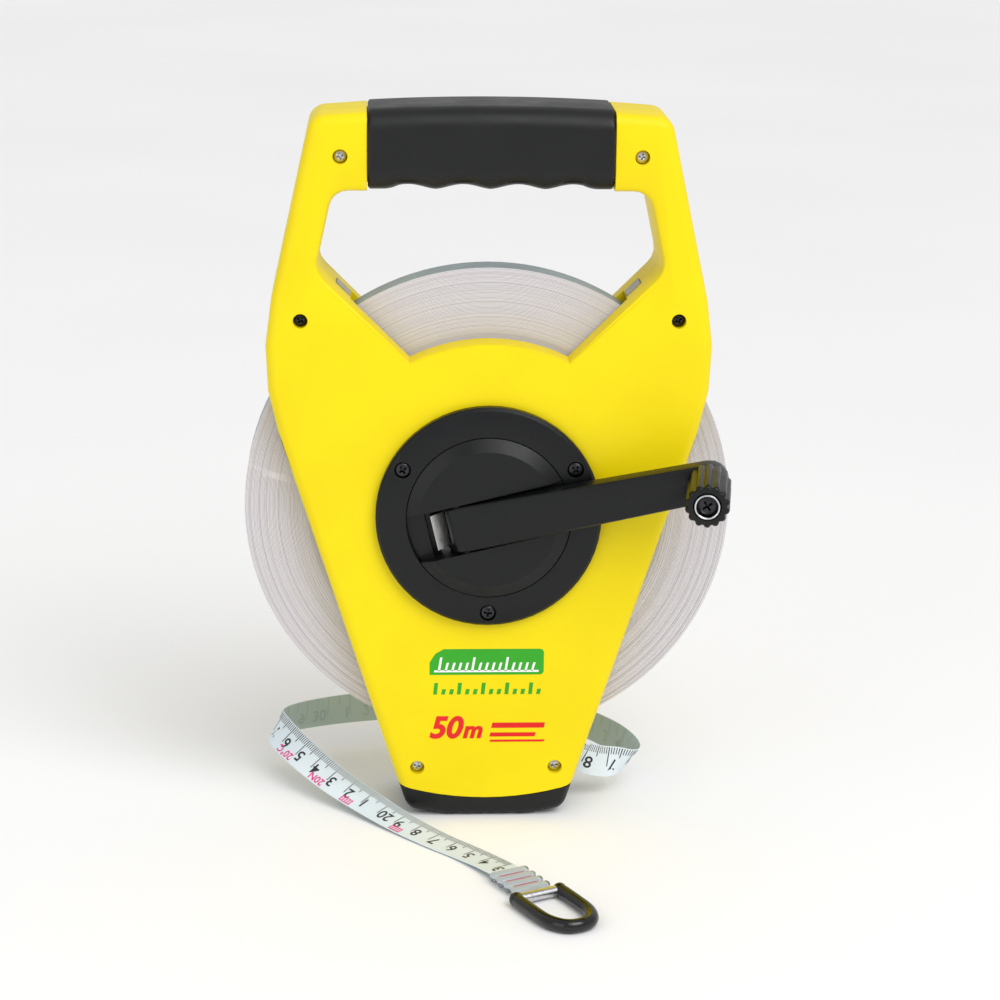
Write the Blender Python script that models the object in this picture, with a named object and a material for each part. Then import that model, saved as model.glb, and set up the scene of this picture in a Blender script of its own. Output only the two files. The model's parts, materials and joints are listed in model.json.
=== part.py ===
"""Surveyor's 50 m tape reel.

An open frame of two shells carries a drum of glass-fibre tape. A folding crank turns a rotor that is
the planet carrier of a 3:1 gear train, so the drum runs three times as fast as the crank.

Origin: middle of the foot's base. +Z is up, the front of the reel faces -Y. Metres.
"""

import math

import bmesh
import bpy
from mathutils import Matrix, Vector

for old in list(bpy.data.objects):
    bpy.data.objects.remove(old)

MM = 0.001
GAP = 0.3 * MM            # between pieces that touch
RUN = 0.1 * MM            # between a shaft and its hole

# Tape
TAPE_W = 13.0 * MM
TAPE_T = 0.6 * MM         # free tape, as a solid
CORE_R = 40.0 * MM
ROLL_R = 94.3 * MM

# Frame
AXIS_Z = 124.1 * MM       # drum axis above the base
HALF_T = 19.0 * MM        # half the frame's thickness
WALL = 2.5 * MM
EDGE_R = 4.0 * MM         # rounding of the outer front and rear edges
FOOT_ARC = 116.0 * MM     # joint between shells and foot, about the drum axis
WAIST_X = 30.9 * MM       # half width at the foot's lower corner
SHOULDER_X = 88.4 * MM    # half width at the tangent corner of the sides
SHOULDER_Z = 56.8 * MM    # its height above the drum axis
TOP_X = 67.2 * MM         # half width at the top corner
TOP_Z = 154.5 * MM        # top of the frame above the drum axis
STRUT_W = 14.5 * MM       # width of a side strut, measured along X
OPEN_R = 67.2 * MM        # arc under the hand opening, about the drum axis
OPEN_TOP = 125.0 * MM     # top of the hand opening above the drum axis
SLANT = 29.8 * MM         # the slanted walls run along z = x + SLANT
ROLL_CLEAR = 3.5 * MM     # between the tape and the walls it passes

# Grip
GRIP_HALF = 46.0 * MM
GRIP_T = 20.2 * MM        # half its thickness
GRIP_SKIN = 3.2 * MM
GRIP_LOW = 125.2 * MM
GRIP_HIGH = 155.2 * MM
GRIP_CROWN = 1.3 * MM
FINGER_PITCH = 20.6 * MM
FINGER_DEPTH = 1.8 * MM

# Gear train
MODULE = 1.25 * MM
RING_TEETH, SUN_TEETH, PLANET_TEETH = 48, 24, 12
PRESSURE = math.radians(25)
ADDENDUM, DEDENDUM = 0.8, 1.1          # in modules
BACKLASH = 0.12 * MM                   # taken off each tooth at the pitch circle
GEAR_FRONT, GEAR_REAR = -13.5 * MM, -9.4 * MM
PLANET_R = MODULE * (SUN_TEETH + PLANET_TEETH) / 2
AXLE_R = 3.0 * MM
PLANET_PIN_R = 2.0 * MM

# Gear cover and rotor
COVER_R = 43.4 * MM
COVER_FACE = HALF_T + 4.5 * MM
COVER_SCREW_R = 38.1 * MM
ROTOR_R = 31.5 * MM
ROTOR_FACE_R = 26.5 * MM
ROTOR_FACE = COVER_FACE + 2.5 * MM
ROTOR_BACK = 0.4 * MM - GEAR_FRONT
FLANGE_R = 33.4 * MM
FLANGE_BACK = HALF_T - 2.3 * MM

# Crank, in its own frame: u outwards along the arm, v across it, w towards the front
CRANK_ANGLE = math.radians(13.5)
CRANK_OFFSET = -1.5 * MM  # the arm's line passes this far below the rotor's axis
ARM_LIFT = math.radians(8.4)
PIN_U, PIN_W, PIN_R = -11.0 * MM, HALF_T + 2.4 * MM, 1.6 * MM
HEEL_R = 5.0 * MM
ARM_LENGTH = 97.0 * MM
ARM_HEEL_W, ARM_TIP_W = 17.8 * MM, 14.4 * MM
ARM_REAR = 2.8 * MM       # the arm's thickness behind its own centre line
SLOT_W = 19.2 * MM
SLOT_FLOOR = HALF_T - 3.8 * MM
SPRING_W = 14.0 * MM
KNOB_R, KNOB_L, KNOB_FLUTES = 8.4 * MM, 28.8 * MM, 14
SPINDLE_R = 2.5 * MM

# Screws
CASE_SCREWS = ((56.25, 138.0), (71.5, 75.9), (27.1, -103.4))   # mm, from the drum axis
SCREW_HEAD_R, SCREW_SHANK_R, SCREW_SINK = 2.5 * MM, 1.4 * MM, 2.2 * MM
COVER_HEAD_R = 2.9 * MM
BOSS_R = 3.6 * MM

# End ring and the guard on the tape's end
RING_PIN = Vector((16.0, -102.3, 2.8)) * MM
RING_FORWARD = Vector((0.454, -0.891, 0)).normalized()
RING_BAR_R = 2.3 * MM
EYE_SPREAD = 9.2 * MM
RING_LENGTH = 30.3 * MM
GUARD_L, GUARD_W, GUARD_T = 21.5 * MM, 13.9 * MM, 2.4 * MM

# The free tape: centre of its width in mm, and its lean from upright in degrees, outwards positive
TAPE_ROUTE = (
    (4.5, 0.0, 29.3, 90), (16, 0.0, 28.4, 90), (25, 0.0, 27.4, 88), (30, 0.0, 26.3, 76),
    (35, -0.3, 22.9, 42), (39, -0.5, 18.4, 6), (45, 0.2, 16.0, -3), (52, 1.8, 14.8, 5),
    (59, 7.0, 13.4, 36), (59.5, 18, 13.6, 30),
    (53, 34, 14.6, 8), (38, 51, 15.6, 0), (16, 62.5, 16.6, 0), (-10, 65.5, 17.6, 0),
    (-36, 61, 18.4, 0), (-58, 53, 19.2, -4), (-75, 43.5, 19.8, -10), (-83.2, 35.5, 20, -22),
    (-82.6, 27, 19.5, -40), (-73.5, 13.2, 15.0, -53), (-60.5, -1.3, 9.2, -62),
    (-49, -12.8, 5.4, -70), (-34.1, -29.9, 2.3, -80), (-20.5, -45.5, 1.1, -86),
    (-9.5, -57.5, 0.9, -88), (-1.2, -69.0, 1.6, -90), (4.6, -79.2, 2.6, -90),
)


# ---------------------------------------------------------------- materials

def material(name, colour, roughness, metallic=0.0):
    mat = bpy.data.materials.new(name)
    mat.use_nodes = True
    shader = mat.node_tree.nodes["Principled BSDF"]
    shader.inputs["Base Color"].default_value = (*colour, 1)
    shader.inputs["Roughness"].default_value = roughness
    shader.inputs["Metallic"].default_value = metallic
    return mat


YELLOW = material("yellow_abs", (0.98, 0.82, 0.01), 0.35)
BLACK = material("black_abs", (0.015, 0.016, 0.018), 0.4)
RUBBER = material("black_rubber", (0.012, 0.012, 0.013), 0.7)
STEEL = material("steel", (0.6, 0.6, 0.6), 0.3, 1.0)
DARK_STEEL = material("blackened_steel", (0.05, 0.05, 0.05), 0.35, 1.0)
TAPE = material("tape_coating", (0.72, 0.78, 0.82), 0.45)
GEAR = material("gear_nylon", (0.85, 0.83, 0.75), 0.45)
FELT = material("guide_pad", (0.55, 0.54, 0.5), 0.9)
CLEAR = material("clear_guard", (0.85, 0.87, 0.88), 0.1)


# ---------------------------------------------------------------- mesh helpers

# The exact solver loses these bodies, so their cuts use the manifold one.
EXACT_FAILS = (
    "front_shell", "rear_shell", "sun_gear", "planet_gear", "ring_gear", "crank_arm", "tape_guard",
)


def finish(name, bm, mat, matrix=None, smooth=30):
    """Turn a bmesh into a named object with its normals facing out."""
    bmesh.ops.triangulate(bm, faces=bm.faces)
    bmesh.ops.recalc_face_normals(bm, faces=bm.faces)
    mesh = bpy.data.meshes.new(name)
    bm.to_mesh(mesh)
    bm.free()
    mesh.shade_smooth()
    mesh.set_sharp_from_angle(angle=math.radians(smooth))
    obj = bpy.data.objects.new(name, mesh)
    if mat:
        mesh.materials.append(mat)
    if matrix:
        obj.matrix_world = matrix
    bpy.context.collection.objects.link(obj)
    return obj


def helper(obj, bm, operation, matrix=None):
    """Cut a hidden shape from an object, or join it on."""
    name = f"{operation.lower()}_{obj.name}_{len(obj.modifiers)}"
    other = finish(name, bm, None, matrix)
    other.hide_render = True
    other.display_type = "WIRE"
    modifier = obj.modifiers.new(name, "BOOLEAN")
    modifier.operation = operation
    modifier.solver = "MANIFOLD" if obj.name.startswith(EXACT_FAILS) else "EXACT"
    modifier.object = other


def cut(obj, bm, matrix=None):
    helper(obj, bm, "DIFFERENCE", matrix)


def join(obj, bm, matrix=None):
    helper(obj, bm, "UNION", matrix)


def clean_faces(obj):
    """Merge coplanar faces left by the cuts, so that no slivers remain."""
    dissolve = obj.modifiers.new("flat_faces", "DECIMATE")
    dissolve.decimate_type = "DISSOLVE"
    dissolve.angle_limit = math.radians(0.2)
    obj.modifiers.new("triangles", "TRIANGULATE")


def loft(loops, closed=False, fan=False):
    """A solid through loops of equal length, capped unless closed; fan caps meet at a centre."""
    bm = bmesh.new()
    rows = [[bm.verts.new(p) for p in loop] for loop in loops]
    count = len(rows[0])
    pairs = list(zip(rows, rows[1:]))
    if closed:
        pairs.append((rows[-1], rows[0]))
    for a, b in pairs:
        for i in range(count):
            j = (i + 1) % count
            bm.faces.new((a[i], a[j], b[j], b[i]))
    for row in () if closed else (rows[0], rows[-1]):
        if fan:
            centre = bm.verts.new(sum((v.co for v in row), Vector()) / count)
            for i in range(count):
                bm.faces.new((row[i], row[(i + 1) % count], centre))
        else:
            bm.faces.new(row)
    return bm


def turned(profile, segments, closed=False):
    """Turn (radius, height) points about local Z. A closed profile makes a ring."""
    bm = bmesh.new()
    rows = []
    for radius, height in profile:
        if radius < 1e-9:
            rows.append([bm.verts.new((0, 0, height))])
            continue
        angles = [2 * math.pi * i / segments for i in range(segments)]
        rows.append([bm.verts.new((radius * math.cos(a), radius * math.sin(a), height)) for a in angles])
    pairs = list(zip(rows, rows[1:]))
    if closed:
        pairs.append((rows[-1], rows[0]))
    for a, b in pairs:
        for i in range(segments):
            j = (i + 1) % segments
            corners = [a[i % len(a)], a[j % len(a)], b[j % len(b)], b[i % len(b)]]
            unique = list(dict.fromkeys(corners))
            if len(unique) > 2:
                bm.faces.new(unique)
    if not closed:
        for row in (rows[0], rows[-1]):
            if len(row) > 1:
                bm.faces.new(row)
    return bm


def cylinder(radius, low, high, segments=24):
    return turned([(radius, low), (radius, high)], segments)


def block(size_low, size_high):
    (x0, y0, z0), (x1, y1, z1) = size_low, size_high
    return loft([[(x0, y0, z), (x1, y0, z), (x1, y1, z), (x0, y1, z)] for z in (z0, z1)])


def prism(points, y0, y1):
    """An (x, z) outline about the drum axis, extruded along Y."""
    return loft([[(x, y, AXIS_Z + z) for x, z in points] for y in (y0, y1)])


# ---------------------------------------------------------------- outlines, (x, z) from the drum axis

def rounded(corners, step=math.radians(14)):
    """Points of a polygon with rounded corners. A corner is (x, z, radius)."""
    points = []
    for i, (x, z, radius) in enumerate(corners):
        here = Vector((x, z))
        before = (Vector(corners[i - 1][:2]) - here).normalized()
        after = (Vector(corners[(i + 1) % len(corners)][:2]) - here).normalized()
        half = before.angle(after) / 2
        if radius == 0:
            points.append(here)
            continue
        reach = radius / math.tan(half)
        centre = here + (before + after).normalized() * radius / math.sin(half)
        start = here + before * reach - centre
        turn = start.angle_signed(here + after * reach - centre)
        count = max(2, math.ceil(abs(turn) / step))
        points += [centre + Matrix.Rotation(-turn * k / count, 2) @ start for k in range(count + 1)]
    return points


def mirrored(right):
    """Close a right half, listed from bottom to top, with its mirror image."""
    left = [(-x, z, radius) for x, z, radius in reversed(right) if x > 0]
    return list(right) + left


def grown(points, distance, shares=None):
    """Offset a closed anticlockwise outline outwards, each point by its share of the distance."""
    whole = distance
    out = []
    for i, point in enumerate(points):
        distance = whole * shares[i] if shares else whole
        before = (point - points[i - 1]).normalized()
        after = (points[(i + 1) % len(points)] - point).normalized()
        normal = Vector((before.y + after.y, -before.x - after.x)).normalized()
        out.append(point + normal * distance / max(0.4, normal.dot(Vector((after.y, -after.x)))))
    return out


def arc(radius, start, end, count):
    """(x, z) points about the drum axis, angles in radians from +X."""
    angles = [start + (end - start) * i / count for i in range(count + 1)]
    return [Vector((radius * math.cos(a), radius * math.sin(a))) for a in angles]


STRUT_LEAN = (SHOULDER_X - TOP_X) / (TOP_Z - SHOULDER_Z)      # outer side of the struts, dx/dz


def strut_x(z, inset):
    """X of the strut's outer side at height z, moved in by inset."""
    return SHOULDER_X - STRUT_LEAN * (z - SHOULDER_Z) - inset


def case_outline():
    base = -AXIS_Z
    right = [
        (16 * MM, base, 0),
        (WAIST_X, base + 2.7 * MM, 6 * MM),
        (SHOULDER_X, SHOULDER_Z, 100 * MM),
        (TOP_X, TOP_Z - 1.6 * MM, 7 * MM),
        (45 * MM, TOP_Z, 0),
    ]
    return rounded(mirrored(right))


def opening_corner_x():
    """Where the slanted wall meets the strut's inner side."""
    return (SHOULDER_X + STRUT_LEAN * (SHOULDER_Z - SLANT) - STRUT_W) / (1 + STRUT_LEAN)


def slant_start():
    """Angle at which the slanted wall meets the arc under the hand opening."""
    x = (-SLANT + math.sqrt(2 * OPEN_R ** 2 - SLANT ** 2)) / 2
    return math.atan2(x + SLANT, x)


def opening_outline():
    """The hand opening, and each point's share of the flare: whole at the corners, small on the arc."""
    corner = opening_corner_x()
    start = slant_start()
    right = [
        (OPEN_R * math.cos(start), OPEN_R * math.sin(start), 0),
        (corner, corner + SLANT, 8 * MM),
        (strut_x(OPEN_TOP, STRUT_W), OPEN_TOP, 7 * MM),
    ]
    upper = rounded(mirrored(right), math.radians(20))[1:-1]
    sweep = arc(OPEN_R, math.pi - start, start, 12)
    return upper + sweep, [1.0] * len(upper) + [0.25] * len(sweep)


# ---------------------------------------------------------------- frame

def edge_sections(points, y_face, inward):
    """Loops that round a front or rear edge: inward is +1 where the body lies towards +Y of the face."""
    loops = []
    for k in range(4):
        angle = math.pi / 2 * k / 3
        y = y_face + inward * EDGE_R * (1 - math.cos(angle))
        loops.append([(p.x, y, AXIS_Z + p.y) for p in grown(points, -EDGE_R * (1 - math.sin(angle)))])
    return loops


def foot_space(grow):
    """Everything below the arc on which the shells end."""
    half = math.radians(24)
    top = arc(FOOT_ARC - grow, -math.pi / 2 - half, -math.pi / 2 + half, 16)
    return top + [Vector((top[-1].x, -AXIS_Z * 1.2)), Vector((top[0].x, -AXIS_Z * 1.2))]


def main_cavity():
    """Right and left bounds of the hollow between the plates, below the hand opening."""
    start = slant_start()
    slant_x = (OPEN_R - 2 * WALL) * math.cos(start)
    bottom = FOOT_ARC - WALL
    right = [
        (30 * MM, -math.sqrt(bottom ** 2 - (30 * MM) ** 2), 0),
        (SHOULDER_X - 8.6 * MM, 30 * MM, 0),
        (SHOULDER_X - 7.2 * MM, 62 * MM, 0),
        (46 * MM, 46 * MM + SLANT - 2 * WALL, 0),
        (slant_x + WALL, slant_x + WALL + SLANT - 2 * WALL, 0),
        (slant_x - 3 * MM, OPEN_R - 2.6 * WALL - 3 * MM, 0),
        (12 * MM, OPEN_R - 1.6 * WALL, 0),
    ]
    return rounded(mirrored(right))


def strut_cavity(side):
    low, high = 92 * MM, OPEN_TOP + 1 * MM
    corners = [
        (strut_x(low, STRUT_W - WALL), low),
        (strut_x(low, WALL), low),
        (strut_x(high, WALL), high),
        (strut_x(high, STRUT_W - WALL), high),
    ]
    return [Vector((side * x, z)) for x, z in corners]


def along_y(x, z, facing=1):
    """Local Z along +Y or -Y, through (x, z) about the drum axis."""
    turn = Matrix.Rotation(math.radians(-90 * facing), 4, "X")
    return Matrix.Translation((x, 0, AXIS_Z + z)) @ turn


def screw_places():
    return [Vector((side * x, z)) * MM for x, z in CASE_SCREWS for side in (-1, 1)]


def cover_screw_places():
    angles = [math.radians(a) for a in (30, 150, 270)]
    return [Vector((math.cos(a), math.sin(a))) * COVER_SCREW_R for a in angles]


def pad_matrix(side):
    """Centre of a guide pad on the slanted wall: local X along the wall, local Z out of it."""
    x = 55.5 * MM
    along = Vector((side, 0, 1)).normalized()
    out = Vector((-side, 0, 1)).normalized()
    across = out.cross(along)
    turn = Matrix((along, across, out)).transposed().to_4x4()
    return Matrix.Translation((side * x, 0, AXIS_Z + x + SLANT)) @ turn


PAD_L, PAD_W, PAD_D = 7.0 * MM, 9.0 * MM, 4.0 * MM


def pad_block(grow):
    half_l, half_w = PAD_L / 2 + grow, PAD_W / 2 + grow
    return block((-half_l, -half_w, -PAD_D - grow), (half_l, half_w, 0.4 * MM + 20 * grow))


def core_cutters(face):
    """Room for the grip's skin round the handle's core. The core's plate lies inside the sleeve."""
    half = GRIP_HALF + GAP
    low, high = GRIP_LOW - 30 * MM, GRIP_HIGH + 10 * MM
    inner_low, inner_high = GRIP_LOW + GRIP_SKIN, GRIP_HIGH - GRIP_SKIN
    front = GRIP_T - GRIP_SKIN
    seam, past = -2 * GAP, 30 * MM
    section = [
        (seam, low), (past, low), (past, high), (seam, high),
        (seam, inner_high), (front, inner_high), (front, inner_low), (seam, inner_low),
    ]
    return loft([[(x, face * y, AXIS_Z + z) for y, z in section] for x in (-half, half)])


def shell(name, face):
    """face is -1 for the front shell and +1 for the rear one."""
    y_face = face * HALF_T
    y_seam = face * GAP / 2
    points = case_outline()
    loops = edge_sections(points, y_face, -face)
    loops.append([(p.x, y_seam, AXIS_Z + p.y) for p in points])
    obj = finish(name, loft(loops), YELLOW)
    past = 1 * MM
    cut(obj, prism(foot_space(0), y_face * 1.2, -face * past))
    y_inside = y_face - face * WALL
    cut(obj, prism(main_cavity(), y_inside, -face * past))
    for side in (-1, 1):
        cut(obj, prism(strut_cavity(side), y_inside, -face * past))
    handle = [Vector((x, z)) for x, z in (
        (-42 * MM, GRIP_LOW + 2.2 * GRIP_SKIN), (42 * MM, GRIP_LOW + 2.2 * GRIP_SKIN),
        (42 * MM, GRIP_HIGH - 2.2 * GRIP_SKIN), (-42 * MM, GRIP_HIGH - 2.2 * GRIP_SKIN))]
    cut(obj, prism(handle, y_inside - face * GRIP_SKIN, -face * past))
    cut(obj, core_cutters(face))
    opening, shares = opening_outline()
    flare = 2.7 * MM
    opening_loops = []
    for growth, depth in ((1.6, -0.7), (0.8, 0), (0.28, 0.3), (0, 1)):
        y = y_face - face * flare * depth
        outline = grown(opening, flare * growth, shares)
        opening_loops.append([(p.x, y, AXIS_Z + p.y) for p in outline])
    opening_loops.append([(p.x, -face * past, AXIS_Z + p.y) for p in opening])
    cut(obj, loft(opening_loops))
    channel = TAPE_W / 2 + 1.7 * MM
    cut(obj, cylinder(ROLL_R + ROLL_CLEAR, -channel, channel, 72), along_y(0, 0))
    for side in (-1, 1):
        cut(obj, pad_block(GAP), pad_matrix(side))
    mouth_low = 12.8 * MM
    cut(obj, block((29 * MM, -channel + GAP, mouth_low), (60 * MM, channel - GAP, 50 * MM)))
    for place in screw_places():
        x, z = place
        if z < 0:
            boss = (y_inside + face * 1 * MM, y_seam)
            join(obj, cylinder(BOSS_R, min(boss), max(boss), 20), along_y(x, z))
        hole = along_y(x, z, face)
        if face < 0:
            cut(obj, cylinder(SCREW_HEAD_R + GAP, HALF_T - SCREW_SINK - 2 * MM, HALF_T * 1.1), hole)
            cut(obj, cylinder(SCREW_SHANK_R + GAP, -past, HALF_T * 0.97, 16), hole)
        else:
            cut(obj, cylinder(SCREW_SHANK_R + GAP / 2, -past, 10 * MM, 16), hole)
    return obj


def screw(name, x, z, head_face, length, head_r, shank_r, mat):
    """A pan-head screw whose shank runs towards +Y. head_face is Y of the head's crown."""
    profile = [
        (0, 0), (head_r * 0.8, 0.4 * MM), (head_r, 1.1 * MM), (head_r, 1.7 * MM),
        (shank_r, 1.7 * MM), (shank_r, length), (0, length),
    ]
    matrix = along_y(x, z) @ Matrix.Translation((0, 0, head_face))
    return finish(name, turned(profile, 12), mat, matrix)


def frame_parts():
    front = shell("front_shell", -1)
    cut(front, cylinder(FLANGE_R + 0.6 * MM, HALF_T * 0.4, HALF_T * 1.1, 64), along_y(0, 0, -1))
    for place in cover_screw_places():
        hole = cylinder(SCREW_SHANK_R + GAP, HALF_T * 0.6, HALF_T * 1.1, 12)
        cut(front, hole, along_y(place.x, place.y, -1))
    clean_faces(front)
    rear = shell("rear_shell", 1)
    boss_inner = TAPE_W / 2 + 2.2 * MM
    join(rear, cylinder(9 * MM, boss_inner, HALF_T - WALL / 2, 32), along_y(0, 0))
    cut(rear, cylinder(AXLE_R + RUN, 0, HALF_T * 1.1, 20), along_y(0, 0))
    head_r = AXLE_R * 2
    cut(rear, cylinder(head_r + GAP, HALF_T - 2.4 * MM, HALF_T * 1.1, 24), along_y(0, 0))
    clean_faces(rear)
    for number, place in enumerate(screw_places(), 1):
        x, z = place
        mat = DARK_STEEL if number in (3, 4) else STEEL
        crown = -HALF_T + SCREW_SINK
        screw(f"case_screw_{number}", x, z, crown, 24 * MM, SCREW_HEAD_R, SCREW_SHANK_R, mat)


def grip_loop(x, inner):
    """Section of the grip across the handle, as (y, z) from the drum axis."""
    if inner:
        half, low, high, radius = GRIP_T - GRIP_SKIN + GAP, GRIP_LOW + GRIP_SKIN - GAP, \
            GRIP_HIGH - GRIP_SKIN + GAP, 0.4 * MM
    else:
        crown = GRIP_CROWN * (1 - (x / GRIP_HALF) ** 2)
        wave = math.cos(2 * math.pi * (x / FINGER_PITCH))
        fade = min(1, max(0, (GRIP_HALF * 0.88 - abs(x)) / (6 * MM)))
        lift = fade * FINGER_DEPTH * (0.5 - 0.5 * wave) ** 0.8
        half, low, high, radius = GRIP_T, GRIP_LOW + lift, GRIP_HIGH + crown, 8 * MM
    corners = [(-half, low), (half, low), (half, high), (-half, high)]
    points = rounded([(y, z, radius) for y, z in corners], math.radians(31))
    return [(x, p.x, AXIS_Z + p.y) for p in points]


def grip_sleeve():
    steps = 32
    stations = [GRIP_HALF * (2 * i / steps - 1) for i in range(steps + 1)]
    obj = finish("grip_sleeve", loft([grip_loop(x, False) for x in stations]), RUBBER, smooth=40)
    cut(obj, loft([grip_loop(x, True) for x in (-GRIP_HALF * 1.1, GRIP_HALF * 1.1)]))


def foot():
    points = case_outline()
    loops = edge_sections(points, -HALF_T, 1) + edge_sections(points, HALF_T, -1)[::-1]
    obj = finish("foot", loft(loops), RUBBER, smooth=40)
    above = arc(FOOT_ARC + GAP, -math.pi / 2 - 0.42, -math.pi / 2 + 0.42, 16)
    above += [Vector((120 * MM, 0)), Vector((120 * MM, 200 * MM))]
    above += [Vector((-120 * MM, 200 * MM)), Vector((-120 * MM, 0))]
    cut(obj, prism(above, -2 * HALF_T, 2 * HALF_T))
    pitch, width, depth, land = 10.7 * MM, 3.8 * MM, 1.2 * MM, 6 * MM
    for number in range(-2, 3):
        x = number * pitch
        rise = 1.2 * MM * (abs(number) == 2)
        shoulder, crown = rise + depth * 0.5, rise + depth
        section = [
            (x - width / 2, -1 * MM), (x + width / 2, -1 * MM), (x + width / 2, shoulder),
            (x + width / 4, crown), (x - width / 4, crown), (x - width / 2, shoulder),
        ]
        for side in (-1, 1):
            cut(obj, loft([[(px, side * y, z) for px, z in section] for y in (land, HALF_T * 1.1)]))


def guide_pads():
    for side, name in ((-1, "guide_pad_left"), (1, "guide_pad_right")):
        finish(name, pad_block(0), FELT, pad_matrix(side))


# ---------------------------------------------------------------- gears

def involute_angle(radius, base):
    return math.sqrt(max(0.0, (radius / base) ** 2 - 1)) - math.acos(min(1.0, base / radius))


def gear_outline(teeth, internal, phase):
    """(x, y) points of a gear whose straight flanks join two points of the involute. An internal
    gear gets the shape of its hollow."""
    pitch = MODULE * teeth / 2
    base = pitch * math.cos(PRESSURE)
    tip = pitch + (DEDENDUM if internal else ADDENDUM) * MODULE
    root = pitch - (ADDENDUM if internal else DEDENDUM) * MODULE
    thin = (-BACKLASH if internal else BACKLASH) / (2 * pitch)
    half = math.pi / (2 * teeth) - thin
    at_pitch = involute_angle(pitch, base)
    points = []
    for tooth in range(teeth):
        centre = phase + 2 * math.pi * tooth / teeth
        flank = []
        for radius in (root, tip):
            spread = half + at_pitch - involute_angle(max(radius, base), base)
            flank.append((radius, max(spread, 0.004)))
        points += [(r, centre - a) for r, a in flank] + [(r, centre + a) for r, a in reversed(flank)]
    return [(r * math.cos(a), r * math.sin(a)) for r, a in points]


def gear_solid(teeth, phase, front, rear):
    outline = gear_outline(teeth, False, phase)
    return loft([[(x, y, AXIS_Z + z) for x, z in outline] for y in (front, rear)], fan=True)


def ring_gear():
    outer = 41.6 * MM
    front = -HALF_T + WALL + GAP
    body = turned([(outer, front), (outer, GEAR_REAR)], 48)
    obj = finish("ring_gear", body, GEAR, along_y(0, 0))
    outline = gear_outline(RING_TEETH, True, math.pi / RING_TEETH)
    past = 1 * MM
    cut(obj, loft([[(x, y, AXIS_Z + z) for x, z in outline] for y in (front - past, GEAR_REAR + past)]))
    cut(obj, cylinder(ROTOR_R + 0.4 * MM, front - past, -ROTOR_BACK + 0.1 * MM, 48), along_y(0, 0))
    for place in cover_screw_places():
        cut(obj, cylinder(SCREW_SHANK_R + GAP / 2, front - past, -11 * MM, 10), along_y(place.x, place.y))


def sun_gear():
    obj = finish("sun_gear", gear_solid(SUN_TEETH, 0, GEAR_FRONT, GEAR_REAR), GEAR)
    join(obj, cylinder(12 * MM, GEAR_REAR - 0.5 * MM, -TAPE_W / 2 - 0.8 * MM, 32), along_y(0, 0))
    cut(obj, cylinder(AXLE_R + 0.25 * MM, -20 * MM, 0, 24), along_y(0, 0))


def planet_centre(number):
    angle = CRANK_ANGLE + math.radians(90 + 120 * number)
    step = 2 * math.pi / (RING_TEETH + SUN_TEETH)
    return round(angle / step) * step


def planets():
    """Each planet sits on a tooth position where sun, planet and ring are all in mesh."""
    for number in range(3):
        angle = planet_centre(number)
        x, z = PLANET_R * math.cos(angle), PLANET_R * math.sin(angle)
        # The sun shows a tooth at angle 0, so at this angle it is turned by angle from a tooth.
        sun_turn = (angle / (2 * math.pi / SUN_TEETH)) % 1
        phase = angle + math.pi + (2 * math.pi / PLANET_TEETH) * (0.5 + sun_turn)
        outline = gear_outline(PLANET_TEETH, False, phase)
        loops = [[(px, py, h) for px, py in outline] for h in (GEAR_FRONT, GEAR_REAR)]
        loops = [[(px, h, pz) for px, pz, h in loop] for loop in loops]
        matrix = Matrix.Translation((x, 0, AXIS_Z + z))
        obj = finish(f"planet_gear_{number + 1}", loft(loops, fan=True), GEAR, matrix)
        turn = Matrix.Rotation(math.radians(-90), 4, "X")
        cut(obj, cylinder(PLANET_PIN_R + 2 * RUN, -20 * MM, 0, 16), matrix @ turn)
        pin = cylinder(PLANET_PIN_R, -ROTOR_BACK - 1.1 * MM, GEAR_REAR + 0.3 * MM, 16)
        finish(f"planet_pin_{number + 1}", pin, STEEL, along_y(x, z))


# ---------------------------------------------------------------- drum

def drum():
    half = TAPE_W / 2
    bore = AXLE_R + 2.2 * MM
    rim = 4 * MM
    web = 3 * MM
    profile = [
        (bore, -half + 0.6 * MM), (12 * MM, -web), (CORE_R - rim, -web), (CORE_R - rim, -half),
        (CORE_R, -half), (CORE_R, half), (CORE_R - rim, half), (CORE_R - rim, web), (12 * MM, web),
        (bore, half),
    ]
    finish("drum_hub", turned(profile, 36, closed=True), BLACK, along_y(0, 0))
    inner = CORE_R + GAP
    tape = [(inner, -half), (ROLL_R, -half), (ROLL_R, half), (inner, half)]
    finish("tape_winding", turned(tape, 80, closed=True), TAPE, along_y(0, 0))
    bushes = (("bush_front", -half + 0.8 * MM, -GAP), ("bush_rear", GAP, half - 0.2 * MM))
    for name, low, high in bushes:
        sleeve = [(AXLE_R + RUN, low), (bore - RUN, low), (bore - RUN, high), (AXLE_R + RUN, high)]
        finish(name, turned(sleeve, 16, closed=True), GEAR, along_y(0, 0))


def axle():
    head_r, head_t = AXLE_R * 2, 2 * MM
    front = -ROTOR_BACK + GAP
    face = HALF_T - 0.3 * MM
    profile = [
        (0, front), (AXLE_R, front), (AXLE_R, face - head_t), (head_r, face - head_t),
        (head_r, face - 0.6 * MM), (head_r - 0.6 * MM, face), (0, face),
    ]
    finish("drum_axle", turned(profile, 20), STEEL, along_y(0, 0))


# ---------------------------------------------------------------- gear cover, rotor and crank

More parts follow.
